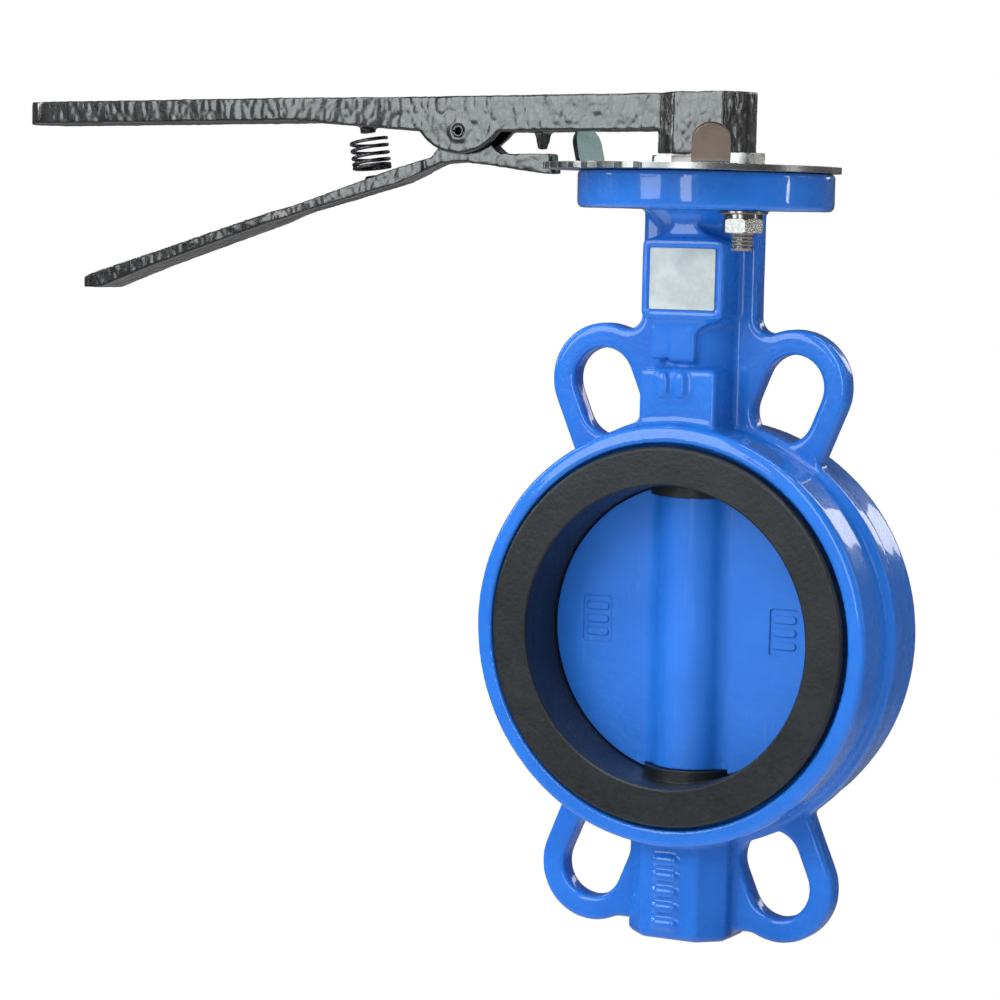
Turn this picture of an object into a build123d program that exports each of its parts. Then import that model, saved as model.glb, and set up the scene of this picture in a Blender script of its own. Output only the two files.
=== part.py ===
"""Wafer butterfly valve for 100 mm pipe, with a spring-latched lever handle.

Millimetres. The origin is the centre of the bore, on the stem axis. +Z runs up the stem,
+Y runs through the pipe from the front face, and the handle of the closed valve points to -X.
"""

import os
from math import cos, radians, sin, sqrt

from build123d import *

# ---------------------------------------------------------------- disc, liner and drum
DISC_R = 52.0  # sealing radius of the disc
DISC_EDGE_T = 9.0  # thickness of the disc at its rim
DISC_HUB_R = 13.5  # vertical hub that holds both stems
DISC_HUB_BLEND = 7.0  # concave blend between hub and disc face
HUB_END_Z = 47.7  # flat ends of the disc hub, from the bore centre
SEAT_GAP = 0.3  # disc to liner, all round
LINER_WALL = 8.5  # rubber between the disc and the drum
LINER_PROUD = 1.9  # rubber standing out of each pipe face
LINER_FLARE = 1.05  # the bore opens by this much at each face
LIP_WIDTH = 11.75  # flat rubber ring that seals on the pipe flange
LIP_ROUND = 1.1  # rounded outer edge of that ring
LIP_DEPTH = 4.0  # recess in the drum that the lip folds into
LIP_GAP = 1.3  # open groove round the lip
RIB_HEIGHT = 2.5  # rib that locks the liner in the drum
RIB_WIDTH = 8.0
FACE_TO_FACE = 52.0  # between the two metal pipe faces
RIM_WALL = 6.3  # metal outside the lip recess
RIDGE_HEIGHT = 2.7  # rib round the drum, in line with the lugs
DRUM_ROUND = 2.2

# ---------------------------------------------------------------- lugs
LUG_STANDOFF = 16.0  # slot centre outside the drum
LUG_ANGLE = 22.5  # each lug from the vertical
LUG_SLOT_W = 22.0
LUG_SLOT_L = 31.5
LUG_WALL = 9.1  # metal round the slot
LUG_T = 8.9  # thickness along the pipe
LUG_EDGE = 1.6
LUG_VALLEY = 5.0  # concave blend where two outlines meet
WEB_HALF = 22.0  # flat web each side of the neck

# ---------------------------------------------------------------- neck and mounting pad
PAD_TOP_Z = 161.0  # top of the mounting pad, from the bore centre
PAD_T = 13.4
PAD_R = 45.0
PAD_ROUND = 2.0
PAD_PCD = 70.0
PAD_HOLE_D = 9.0
NECK_WALL = 4.5
PANEL_W = 31.2  # raised frame round the name plate
PANEL_H = 27.6
PANEL_Y = 19.0  # panel face from the stem axis
PANEL_DROP = 23.4  # pad top to panel top
PANEL_RECESS = 1.0
FRAME_W = 2.3  # width of the raised frame
SADDLE_HALF = 5.0  # narrow boss above and below the panel
SADDLE_RISE = 4.5
PEDESTAL_W = 29.0  # block between neck and drum
PEDESTAL_H = 19.2  # above the drum
PEDESTAL_Y = 21.0
FOOT_HALF_X = 19.0  # octagonal lower hub
FOOT_HALF_Y = 17.0
FOOT_FRONT_HALF = 10.7
FOOT_SIDE_HALF = 9.0
FOOT_DROP = 34.5  # below the drum
MARK_RISE = 1.6  # plain cast bars where a maker would cast letters

# ---------------------------------------------------------------- stems, bushes and seals
STEM_D = 16.0
RUN_FIT = 0.05  # radial clearance where something turns
PUSH_FIT = 0.02  # radial clearance where something is pressed in
STEM_SQUARE = 11.0  # drive square at both ends of the upper stem
SQUARE_FIT = 0.05
SOCKET_LOW_Z = 8.0  # lower end of the disc's square socket, from the bore centre
SOCKET_DEPTH = 14.0
LOWER_STEM_TOP_Z = -14.0
END_GAP = 0.3  # stem end to the bottom of its bore
BUSH_WALL = 3.0
RING_SECTION = 2.0  # o-ring wire
WASHER_T = 1.5
CIRCLIP_T = 1.2
COUNTERBORE_D = 26.0
COUNTERBORE_DEPTH = 5.0
FOOT_FLOOR = 11.0  # metal under the lower stem's bore

# ---------------------------------------------------------------- notch plate and its bolts
PLATE_T = 2.2
PLATE_R = 47.0  # round part of the plate
TOOTH_R = 57.3  # toothed part of the plate
NOTCH_STEP = 7.5  # degrees between notches
TURN = 90.0  # handle travel in degrees
NOTCH_DEPTH = 4.7
NOTCH_W = 3.2
TAB_W = 13.0
TAB_H = 14.0
TAB_LEAN = 16.0  # degrees, outward
TAB_ROOT_R = 54.0
OPEN_TAB = 25.0  # degrees beyond the open handle
SHUT_TAB = 17.5  # degrees beyond the shut handle
SECTOR_MARGIN = 9.0  # degrees of plate beyond each tab's middle
BOLT_D = 8.0
BOLT_AF = 13.0
BOLT_HEAD_H = 3.8
NUT_H = 4.9
NUT_STEP = 6.0  # thread standing out of the nut
THREAD_PITCH = 1.25
THREAD_DEPTH = 0.5
FLAT_WASHER_D = 17.0
FLAT_WASHER_T = 1.2
SPRING_WASHER_D = 13.4
SPRING_WASHER_T = 1.6
BOLT_ANGLES = (-45.0, 135.0)

# ---------------------------------------------------------------- lever handle
HEAD_R = 16.0
HEAD_FLAT_Y = 14.5
HEAD_END_X = 17.0
HEAD_END_HALF = 4.2
HEAD_CORNER_X = 12.2
HEAD_GAP = 5.8  # notch plate underside to the bottom of the head
HEAD_H = 22.0
SPACER_D = 24.8
SPACER_GAP = 0.4
ARM_HALF = 7.0
ARM_UNDER = 13.6  # arm underside above the pad
GRIP_HALF = 14.0
GRIP_T = 8.8
HANDLE_END_X = -282.5
GRIP_START_X = -165.0
ARM_START_X = -118.0
CHEEK_HALF_L = 16.2
CHEEK_DROP = 8.0
PIVOT_X = -94.7
PIVOT_RISE = 13.4  # trigger pivot above the pad
PIN_D = 4.0
PIN_BORE = 2.9
SLOT_HALF = 4.3  # slot between the cheeks
LUG_X = -63.9  # travel stop under the arm
LUG_H = 6.6
SCREW_D = 6.0

# ---------------------------------------------------------------- trigger and spring
WEB_GAP = 0.35  # trigger web to each cheek
TRIGGER_HALF = 5.0
TRIGGER_GRIP_HALF = 8.0
TRIGGER_END_X = -258.9
FINGER_GAP = 1.0  # finger to the toothed rim
LATCH_REACH = 3.7  # latch tooth into the notch
LATCH_W = 2.4
SPRING_D = 14.4
SPRING_WIRE = 1.3
SPRING_X = -135.8
SPRING_TURNS = 4.5
SPRING_TILT = 8.0  # degrees from the vertical
SPRING_ROOM = 17.9  # arm to trigger along the spring
SPRING_TOP_GAP = 1.3  # arm to the tilted coil
SPRING_FOOT_GAP = 1.8  # trigger to the tilted coil
PEG_D = 6.0
PEG_H = 1.2
PEG_ROOT = 2.5  # buried part of each peg

# ---------------------------------------------------------------- sizes that follow
STEM_R = STEM_D / 2
HALF_FACE = FACE_TO_FACE / 2
SEAT_R = DISC_R + SEAT_GAP
LINER_R = SEAT_R + LINER_WALL
LIP_FLAT_R = SEAT_R + LINER_FLARE + LIP_WIDTH
LIP_R = LIP_FLAT_R + LIP_ROUND
RECESS_R = LIP_R + LIP_GAP
DRUM_R = RECESS_R + RIM_WALL
ROOT_R = RECESS_R + 1.0  # neck and foot start in the drum wall, clear of the lip recess
RIB_R = LINER_R + RIB_HEIGHT
LIP_FLOOR = HALF_FACE - LIP_DEPTH
LINER_FACE = HALF_FACE + LINER_PROUD
HUB_POCKET_R = DISC_HUB_R + 3.0
BUSH_R = STEM_R + BUSH_WALL
NECK_R = BUSH_R + NECK_WALL
PAD_BOTTOM_Z = PAD_TOP_Z - PAD_T
PANEL_TOP_Z = PAD_TOP_Z - PANEL_DROP
PANEL_BOTTOM_Z = PANEL_TOP_Z - PANEL_H
LUG_R = DRUM_R + LUG_STANDOFF
LUG_HALF_W = LUG_SLOT_W / 2 + LUG_WALL
SLOT_REACH = (LUG_SLOT_L - LUG_SLOT_W) / 2
FOOT_Z = -(DRUM_R + FOOT_DROP)
WASHER_Z = PAD_TOP_Z - COUNTERBORE_DEPTH
PLATE_TOP_Z = PAD_TOP_Z + PLATE_T
HEAD_BOTTOM_Z = PAD_TOP_Z + HEAD_GAP
HEAD_TOP_Z = HEAD_BOTTOM_Z + HEAD_H
ARM_UNDER_Z = PAD_TOP_Z + ARM_UNDER
PIVOT_Z = PAD_TOP_Z + PIVOT_RISE
WEB_THICK_HALF = SLOT_HALF - WEB_GAP
FINGER_X = -(TOOTH_R + FINGER_GAP)
SOCKET_TOP_Z = SOCKET_LOW_Z + SOCKET_DEPTH


# ---------------------------------------------------------------- shared shapes
def post(radius, low, high, x=0.0, y=0.0):
    """Round bar along Z."""
    return Pos(x, y, (low + high) / 2) * Cylinder(radius, high - low)


def pipe(outer, inner, low, high, x=0.0, y=0.0):
    """Round tube along Z."""
    return post(outer, low, high, x, y) - post(inner, low - 1, high + 1, x, y)


def crossbar(radius, low, high, x=0.0, z=0.0):
    """Round bar along Y."""
    return Pos(x, (low + high) / 2, z) * Rot(90, 0, 0) * Cylinder(radius, high - low)


def block(x, y, z):
    """Box from three (low, high) pairs."""
    size = [high - low for low, high in (x, y, z)]
    middle = [(high + low) / 2 for low, high in (x, y, z)]
    return Pos(*middle) * Box(*size)


def hexagon(across, low, high, x=0.0, y=0.0):
    """Hexagonal bar along Z with its corners turned off."""
    flat = RegularPolygon(across / 2, 6, major_radius=False)
    bar = extrude(Pos(x, y, low) * flat, high - low)
    corner = across / sqrt(3)
    crown = post(corner, low, high, x, y)
    crown = chamfer(crown.edges().filter_by(GeomType.CIRCLE), 0.09 * across / 2)
    return bar & crown


def side_plate(face, half):
    """Sketch drawn in X and Z, thickened evenly to both sides of Y = 0."""
    return extrude(Plane.XZ * face, half, both=True)


def outline(points):
    return make_face(Polyline(*points, close=True))


def capsule(low, high, half, angle):
    """Slot along a radius at an angle from +Z, from one end centre to the other."""
    middle = (low + high) / 2
    turn = radians(angle)
    place = Pos(middle * sin(turn), middle * cos(turn)) * Rot(0, 0, 90 - angle)
    return place * SlotCenterToCenter(high - low, 2 * half)


def soften(sketch, radius):
    """Rounds only the concave corners of a sketch."""
    return offset(offset(sketch, radius), -radius)


def save(name, shape):
    shape.label = name
    export_step(shape, f"parts/{name}.step")
    print(f"{name:24s} volume {shape.volume:10.0f}")


# ---------------------------------------------------------------- body casting
def drum():
    """Ring that carries the liner, with its lip recesses and rib groove."""
    rib = RIB_WIDTH / 2
    half = [
        (DRUM_R, HALF_FACE),
        (RECESS_R, HALF_FACE),
        (RECESS_R, LIP_FLOOR),
        (LINER_R, LIP_FLOOR),
        (LINER_R, rib),
        (RIB_R, rib),
    ]
    mirrored = [(r, -y) for r, y in reversed(half)]
    ring = revolve(outline(half + mirrored), Axis.Y)
    rims = ring.edges().filter_by(GeomType.CIRCLE).sort_by(SortBy.RADIUS)[-2:]
    ring = fillet(rims, DRUM_ROUND)
    ridge_r = DRUM_R + RIDGE_HEIGHT
    ridge = crossbar(ridge_r, -LUG_T / 2, LUG_T / 2) - crossbar(RIB_R + 1, -LUG_T, LUG_T)
    return ring + ridge


def lug_web():
    """Flat web in the middle plane: four slotted lugs and the sides of neck and foot."""
    angles = (LUG_ANGLE, -LUG_ANGLE, 180 - LUG_ANGLE, LUG_ANGLE - 180)
    outer = LUG_R + SLOT_REACH
    fill_z = outer * cos(radians(LUG_ANGLE)) + LUG_HALF_W - 2.5
    fill_x = outer * sin(radians(LUG_ANGLE))
    top_z = PAD_BOTTOM_Z + 1
    sketch = Rectangle(2 * fill_x, 2 * fill_z)
    sketch += Pos(0, top_z / 2) * Rectangle(2 * WEB_HALF, top_z)
    for angle in angles:
        sketch += capsule(DRUM_R - 10, outer, LUG_HALF_W, angle)
    sketch = soften(sketch, LUG_VALLEY)
    sketch -= Circle(RIB_R + 1)
    for angle in angles:
        sketch -= capsule(LUG_R - SLOT_REACH, outer, LUG_SLOT_W / 2, angle)
    web = side_plate(sketch, LUG_T / 2)
    return fillet(web.faces().filter_by(Axis.Y).edges(), LUG_EDGE)


def name_panel():
    """Block on the neck with a raised frame round the name plate, and its saddles."""
    z = (PANEL_BOTTOM_Z, PANEL_TOP_Z)
    panel = block((-PANEL_W / 2, PANEL_W / 2), (-PANEL_Y, PANEL_Y), z)
    panel = fillet(panel.edges().filter_by(Axis.Y), 2.0)
    panel = fillet(panel.faces().filter_by(Axis.Y).edges(), 0.8)
    half = PANEL_W / 2
    saddle_y = PANEL_Y - 1.5
    foot = 2 * SADDLE_RISE + 6
    for edge, way in ((PANEL_TOP_Z, 1), (PANEL_BOTTOM_Z, -1)):
        far = PAD_BOTTOM_Z + 1 if way > 0 else edge - foot
        left = [
            (-half + 0.5, edge - way),
            (-half + 2.5, edge + 0.2 * way),
            (-SADDLE_HALF - 2, edge + way * SADDLE_RISE * 0.6),
            (-SADDLE_HALF, edge + way * SADDLE_RISE),
            (-SADDLE_HALF, far),
        ]
        right = [(-x, z) for x, z in reversed(left)]
        panel += side_plate(outline(left + right), saddle_y)
    return panel


def name_recess():
    half = PANEL_W / 2 - FRAME_W
    z = (PANEL_BOTTOM_Z + FRAME_W, PANEL_TOP_Z - FRAME_W)
    pocket = block((-half, half), (-PANEL_Y - 1, -PANEL_Y + PANEL_RECESS), z)
    return fillet(pocket.edges().filter_by(Axis.Y), 1.2)


def pedestal():
    top = DRUM_R + PEDESTAL_H
    x = (-PEDESTAL_W / 2, PEDESTAL_W / 2)
    base = block(x, (-PEDESTAL_Y, PEDESTAL_Y), (ROOT_R, top))
    base = fillet(base.edges().filter_by(Axis.Y).sort_by(Axis.Z)[-2:], 1.5)
    return fillet(base.faces().filter_by(Axis.Y).edges(), 1.0)


def cast_bars(count, length, width, pitch):
    """Row of plain raised bars, drawn in X and Z round the origin."""
    rows = Sketch()
    for row in range(count):
        rows += Pos(0, (row - (count - 1) / 2) * pitch) * SlotOverall(length, width)
    return rows


def foot():
    """Octagonal lower hub with five plain bars on its front."""
    quarter = [(FOOT_FRONT_HALF, FOOT_HALF_Y), (FOOT_HALF_X, FOOT_SIDE_HALF)]
    corners = quarter + [(x, -y) for x, y in reversed(quarter)]
    corners += [(-x, -y) for x, y in quarter] + [(-x, y) for x, y in reversed(quarter)]
    top = -ROOT_R
    hub = extrude(Pos(0, 0, FOOT_Z) * outline(corners), top - FOOT_Z)
    hub = chamfer(hub.faces().sort_by(Axis.Z)[0].edges(), 1.6)
    middle = (FOOT_Z - DRUM_R) / 2
    bars = Pos(-1.5, middle) * cast_bars(5, 9.5, 3.4, 5.6)
    raised = extrude(Plane.XZ.offset(FOOT_HALF_Y) * bars, MARK_RISE)
    return hub + raised


def neck_bars():
    """Plain cast marks on the pedestal and beside the saddle."""
    middle = DRUM_R + PEDESTAL_H
    marks = Pos(-1.8, middle - 5.7) * Rot(0, 0, 90) * cast_bars(2, 9.4, 4.2, 6.6)
    raised = extrude(Plane.XZ.offset(PEDESTAL_Y - 0.2) * marks, MARK_RISE + 0.2)
    z = (PANEL_BOTTOM_Z - 14.5, PANEL_BOTTOM_Z - 2.5)
    frame = block((-12.4, -6.4), (-NECK_R - 1.6, -NECK_R + 6), z)
    return raised + fillet(frame.edges().filter_by(Axis.Y), 0.8)


def mounting_pad():
    pad = post(PAD_R, PAD_BOTTOM_Z, PAD_TOP_Z)
    pad = fillet(pad.edges().filter_by(GeomType.CIRCLE), PAD_ROUND)
    flare_z = PAD_BOTTOM_Z - 2.5
    flare = Pos(0, 0, flare_z) * Cone(NECK_R, NECK_R + 5, 5.2)
    return pad + flare


def stem_bores():
    """Bores for the bushes and stems, the washer counterbore and the pad's bolt holes."""
    hollow = post(BUSH_R, LINER_R - 2, PAD_TOP_Z + 1)
    hollow += post(COUNTERBORE_D / 2, WASHER_Z, PAD_TOP_Z + 1)
    hollow += post(BUSH_R, FOOT_Z + FOOT_FLOOR, -LINER_R + 2)
    for corner in range(4):
        turn = radians(45 + 90 * corner)
        x, y = PAD_PCD / 2 * cos(turn), PAD_PCD / 2 * sin(turn)
        hollow += post(PAD_HOLE_D / 2, PAD_BOTTOM_Z - 2, PAD_TOP_Z + 1, x, y)
    return hollow


def valve_body():
    body = drum() + lug_web()
    body += post(NECK_R, ROOT_R, PAD_BOTTOM_Z + 1)
    body += name_panel() + pedestal() + neck_bars() + mounting_pad() + foot()
    return body - name_recess() - stem_bores()


# ---------------------------------------------------------------- liner, bushes and seals
def seat_liner():
    """Rubber liner with a lip over each pipe face and flat bosses round the stems."""
    rib = RIB_WIDTH / 2
    half = [
        (SEAT_R, 0),
        (SEAT_R, LIP_FLOOR),
        (SEAT_R + LINER_FLARE - 0.5, LINER_FACE - 0.5),
        (SEAT_R + LINER_FLARE, LINER_FACE),
        (LIP_FLAT_R, LINER_FACE),
        (LIP_FLAT_R + 0.7 * LIP_ROUND, LINER_FACE - 0.3 * LIP_ROUND),
        (LIP_R, LINER_FACE - LIP_ROUND),
        (LIP_R, LIP_FLOOR + PUSH_FIT),
        (LINER_R - PUSH_FIT, LIP_FLOOR + PUSH_FIT),
        (LINER_R - PUSH_FIT, rib - PUSH_FIT),
        (RIB_R - PUSH_FIT, rib - PUSH_FIT),
    ]
    mirrored = [(r, -y) for r, y in reversed(half[1:])]
    liner = revolve(outline(half + mirrored), Axis.Y)
    boss = post(HUB_POCKET_R - SEAT_GAP, HUB_END_Z + SEAT_GAP, LINER_R - 3)
    liner += boss + mirror(boss, Plane.XY)
    return liner - post(STEM_R + RUN_FIT, -2 * LINER_R, 2 * LINER_R)


def bush(low, high):
    return pipe(BUSH_R - PUSH_FIT, STEM_R + RUN_FIT, low, high)


def ring_heights():
    return (WASHER_Z - 6.0, WASHER_Z - 12.0)


def upper_bush():
    sleeve = bush(WASHER_Z - 30.0, WASHER_Z - PUSH_FIT)
    groove_r = STEM_R + RUN_FIT + RING_SECTION + 0.15
    for z in ring_heights():
        sleeve -= post(groove_r, z - RING_SECTION * 0.65, z + RING_SECTION * 0.65)
    return sleeve


def o_ring(z):
    return Pos(0, 0, z) * Torus(STEM_R + RUN_FIT + RING_SECTION / 2, RING_SECTION / 2)


def thrust_washer():
    return pipe(COUNTERBORE_D / 2 - 0.2, STEM_R + 0.3, WASHER_Z, WASHER_Z + WASHER_T)


def spacer_ring():
    top = HEAD_BOTTOM_Z - SPACER_GAP
    ring = pipe(SPACER_D / 2, STEM_R + 0.3, PLATE_TOP_Z, top)
    return chamfer(ring.edges().filter_by(GeomType.CIRCLE).sort_by(SortBy.RADIUS)[-2:], 0.4)


# ---------------------------------------------------------------- disc and stems
def disc():
    """Round plate with a spherical rim and a vertical hub blended into both faces."""
    rim_half = DISC_EDGE_T / 2
    plate = crossbar(DISC_R + 1, -rim_half, rim_half)
    section = Rectangle(2 * (DISC_HUB_R + 3 * DISC_HUB_BLEND), DISC_EDGE_T) + Circle(DISC_HUB_R)
    section = soften(section, DISC_HUB_BLEND)
    hub = extrude(section, DISC_R, both=True) & crossbar(DISC_R - 0.6, -DISC_R, DISC_R)
    shape = (plate + hub) & Sphere(DISC_R)
    for way in (1, -1):
        low, high = sorted((way * HUB_END_Z, way * (DISC_R + 1)))
        shape -= post(HUB_POCKET_R, low, high)
        shape -= disc_mark(way * 0.69 * DISC_R)
    bore_r = STEM_R + RUN_FIT
    shape -= post(bore_r, SOCKET_TOP_Z, DISC_R)
    shape -= post(bore_r, -DISC_R, LOWER_STEM_TOP_Z)
    side = STEM_SQUARE / 2 + SQUARE_FIT
    return shape - block((-side, side), (-side, side), (SOCKET_LOW_Z, SOCKET_TOP_Z + 1))


def disc_mark(x):
    """Shallow cast pocket with three plain bars standing in it, on the front face."""
    face = Plane.XZ.offset(DISC_EDGE_T / 2 - 0.5)
    pocket = Pos(x, 2) * RectangleRounded(11.0, 16.5, 1.0)
    pocket -= Pos(x, 2) * cast_bars(3, 8.5, 2.6, 4.6)
    return extrude(face * pocket, 1.0)


def upper_stem():
    """Stem from the disc's square socket up to the drive square in the handle."""
    shaft = post(STEM_R, SOCKET_TOP_Z + END_GAP, HEAD_BOTTOM_Z - 2.0)
    half = STEM_SQUARE / 2
    flat = (-half, half)
    top = HEAD_TOP_Z - 1.5
    shaft += block(flat, flat, (SOCKET_LOW_Z + END_GAP, SOCKET_TOP_Z + 1))
    drive = block(flat, flat, (HEAD_BOTTOM_Z - 3.0, top))
    shaft += chamfer(drive.faces().sort_by(Axis.Z)[-1].edges(), 0.8)
    low = WASHER_Z + WASHER_T + 0.3
    groove = pipe(STEM_R + 1, STEM_R - 0.6, low, low + CIRCLIP_T + 0.1)
    return shaft - groove


def stem_circlip():
    low = WASHER_Z + WASHER_T + 0.35
    ring = pipe(COUNTERBORE_D / 2 - 1.2, STEM_R - 0.55, low, low + CIRCLIP_T)
    gap = block((0, COUNTERBORE_D), (-3.2, 3.2), (low - 1, low + 2 * CIRCLIP_T))
    return ring - gap


def lower_stem():
    bar = post(STEM_R, FOOT_Z + FOOT_FLOOR + END_GAP, LOWER_STEM_TOP_Z - END_GAP)
    return chamfer(bar.edges().filter_by(GeomType.CIRCLE), 0.8)


# ---------------------------------------------------------------- notch plate
def polar(radius, angle):
    """Point on the plate: 0 degrees is -Y, and angles grow towards +X."""
    return radius * sin(radians(angle)), -radius * cos(radians(angle))


def sector(radius, start, end):
    """Pie slice of the plate between two plate angles."""
    middle = (start + end) / 2
    arc = ThreePointArc(polar(radius, start), polar(radius, middle), polar(radius, end))
    return make_face(arc + Line(polar(radius, end), (0, 0)) + Line((0, 0), polar(radius, start)))


def stop_tab(angle):
    """Bent-up tab with a round top, leaning outward, square to its radius."""
    half = TAB_W / 2
    post_h = TAB_H - half
    shape = Pos(0, post_h / 2) * Rectangle(TAB_W, post_h) + Pos(0, post_h) * Circle(half)
    shape += Pos(0, -1.2) * Rectangle(TAB_W, 2.4)
    upright = extrude(Plane.XZ * shape, PLATE_T)
    return Rot(0, 0, angle) * Pos(0, -TAB_ROOT_R, PLATE_TOP_Z) * Rot(TAB_LEAN, 0, 0) * upright


def notch_plate():
    start = -TURN - SHUT_TAB - SECTOR_MARGIN
    end = OPEN_TAB + SECTOR_MARGIN
    flat = Circle(PLATE_R) + sector(TOOTH_R, start, end)
    notch = Rectangle(NOTCH_W, 2 * NOTCH_DEPTH)
    for step in range(round(TURN / NOTCH_STEP) + 1):
        angle = -step * NOTCH_STEP
        x, y = polar(TOOTH_R, angle)
        flat -= Pos(x, y) * Rot(0, 0, angle) * notch
    flat -= Circle(STEM_R + 1.5)
    for corner in range(4):
        turn = radians(45 + 90 * corner)
        flat -= Pos(PAD_PCD / 2 * cos(turn), PAD_PCD / 2 * sin(turn)) * Circle(PAD_HOLE_D / 2)
    plate = extrude(Pos(0, 0, PAD_TOP_Z) * flat, PLATE_T)
    for angle in (OPEN_TAB, -TURN - SHUT_TAB):
        plate += stop_tab(angle) & post(2 * TOOTH_R, PAD_TOP_Z, PLATE_TOP_Z + 2 * TAB_H)
    return plate


# ---------------------------------------------------------------- plate fasteners
def bolt_places():
    for angle in BOLT_ANGLES:
        turn = radians(angle)
        yield PAD_PCD / 2 * cos(turn), PAD_PCD / 2 * sin(turn)


NUT_TOP_Z = PAD_BOTTOM_Z - FLAT_WASHER_T - SPRING_WASHER_T
NUT_BOTTOM_Z = NUT_TOP_Z - NUT_H
BOLT_END_Z = NUT_BOTTOM_Z - NUT_STEP


def threaded_end(top, bottom):
    """Shank with ring grooves of the thread's pitch and depth."""
    crest, root = BOLT_D / 2, BOLT_D / 2 - THREAD_DEPTH
    points = [(0, top), (crest, top)]
    turns = int((top - bottom - 1.0) / THREAD_PITCH)
    for turn in range(turns):
        z = top - turn * THREAD_PITCH
        points += [(root, z - THREAD_PITCH / 2), (crest, z - THREAD_PITCH)]
    points += [(root, bottom), (0, bottom)]
    return revolve(Plane.XZ * outline(points), Axis.Z)


def hex_bolt():
    head = hexagon(BOLT_AF, PLATE_TOP_Z, PLATE_TOP_Z + BOLT_HEAD_H)
    shank = post(BOLT_D / 2, NUT_BOTTOM_Z, PLATE_TOP_Z + 1)
    return head + shank + threaded_end(NUT_BOTTOM_Z, BOLT_END_Z)


def hex_nut():
    return hexagon(BOLT_AF, NUT_BOTTOM_Z, NUT_TOP_Z) - post(
        BOLT_D / 2 + PUSH_FIT, NUT_BOTTOM_Z - 1, NUT_TOP_Z + 1
    )


def flat_washer():
    ring = pipe(FLAT_WASHER_D / 2, BOLT_D / 2 + 0.2, PAD_BOTTOM_Z - FLAT_WASHER_T, PAD_BOTTOM_Z)
    return chamfer(ring.edges().filter_by(GeomType.CIRCLE).sort_by(SortBy.RADIUS)[-2:], 0.25)


def spring_washer():
    ring = pipe(SPRING_WASHER_D / 2, BOLT_D / 2 + 0.15, NUT_TOP_Z, NUT_TOP_Z + SPRING_WASHER_T)
    cut = block((0, SPRING_WASHER_D), (-0.5, 0.5), (NUT_TOP_Z - 1, NUT_TOP_Z + 3))
    return ring - cut


def at_bolts(piece):
    """One copy at each bolt place, as a group of separate solids."""
    return Compound(children=[Pos(x, y, 0) * piece for x, y in bolt_places()])


# ---------------------------------------------------------------- name plate
def name_plate():
    half = PANEL_W / 2 - FRAME_W - 1.0
    z = (PANEL_BOTTOM_Z + FRAME_W + 0.9, PANEL_TOP_Z - FRAME_W - 0.9)
    back = -PANEL_Y + PANEL_RECESS
    plate = block((-half, half), (back - 0.5, back), z)
    return fillet(plate.edges().filter_by(Axis.Y), 0.8)


# ---------------------------------------------------------------- lever handle
def arm_side():
    """Side view of the handle, in X and Z."""
    arm = ARM_UNDER_Z
    top_end = arm + 9.6
    grip_end = top_end - GRIP_T
    slope = (HEAD_TOP_Z - top_end) / (HEAD_END_X - HANDLE_END_X)
    grip_x = GRIP_START_X + 4
    grip_z = top_end + slope * (grip_x - HANDLE_END_X) - GRIP_T
    left, right = PIVOT_X - CHEEK_HALF_L, PIVOT_X + CHEEK_HALF_L
    bulge = ThreePointArc((left, arm - 0.6), (PIVOT_X, arm - 0.6 - CHEEK_DROP), (right, arm - 0.6))
    neck_x = -HEAD_R
    lower = Polyline(
        (HANDLE_END_X, top_end),
        (HANDLE_END_X, grip_end),
        (grip_x, grip_z),
        (left, arm - 0.6),
    )
    upper = Polyline(
        (right, arm - 0.6),
        (neck_x, arm + 0.3),
        (neck_x, HEAD_BOTTOM_Z),
        (HEAD_END_X, HEAD_BOTTOM_Z),
        (HEAD_END_X, HEAD_TOP_Z),
        (HANDLE_END_X, top_end),
    )
    return make_face(lower + bulge + upper)


def handle_plan():
    """Outline of the handle from above: wide grip, narrow arm and the head."""
    grip_x = HANDLE_END_X + GRIP_HALF
    flat_x = sqrt(HEAD_R**2 - HEAD_FLAT_Y**2)
    join_x = sqrt(HEAD_R**2 - ARM_HALF**2)
    middle = radians(135)
    knee = (HEAD_R * cos(middle), HEAD_R * sin(middle))
    end = ThreePointArc((grip_x, GRIP_HALF), (HANDLE_END_X, 0), (grip_x, -GRIP_HALF))
    lines = [end]
    for way in (1, -1):
        lines += [
            Polyline(
                (grip_x, way * GRIP_HALF),
                (GRIP_START_X, way * GRIP_HALF),
                (ARM_START_X, way * ARM_HALF),
                (-join_x, way * ARM_HALF),
            ),
            ThreePointArc(
                (-join_x, way * ARM_HALF),
                (knee[0], way * knee[1]),
                (-flat_x, way * HEAD_FLAT_Y),
            ),
            Polyline(
                (-flat_x, way * HEAD_FLAT_Y),
                (HEAD_CORNER_X, way * HEAD_FLAT_Y),
                (HEAD_END_X, way * HEAD_END_HALF),
            ),
        ]
    lines.append(Line((HEAD_END_X, HEAD_END_HALF), (HEAD_END_X, -HEAD_END_HALF)))
    return make_face(lines)


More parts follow.
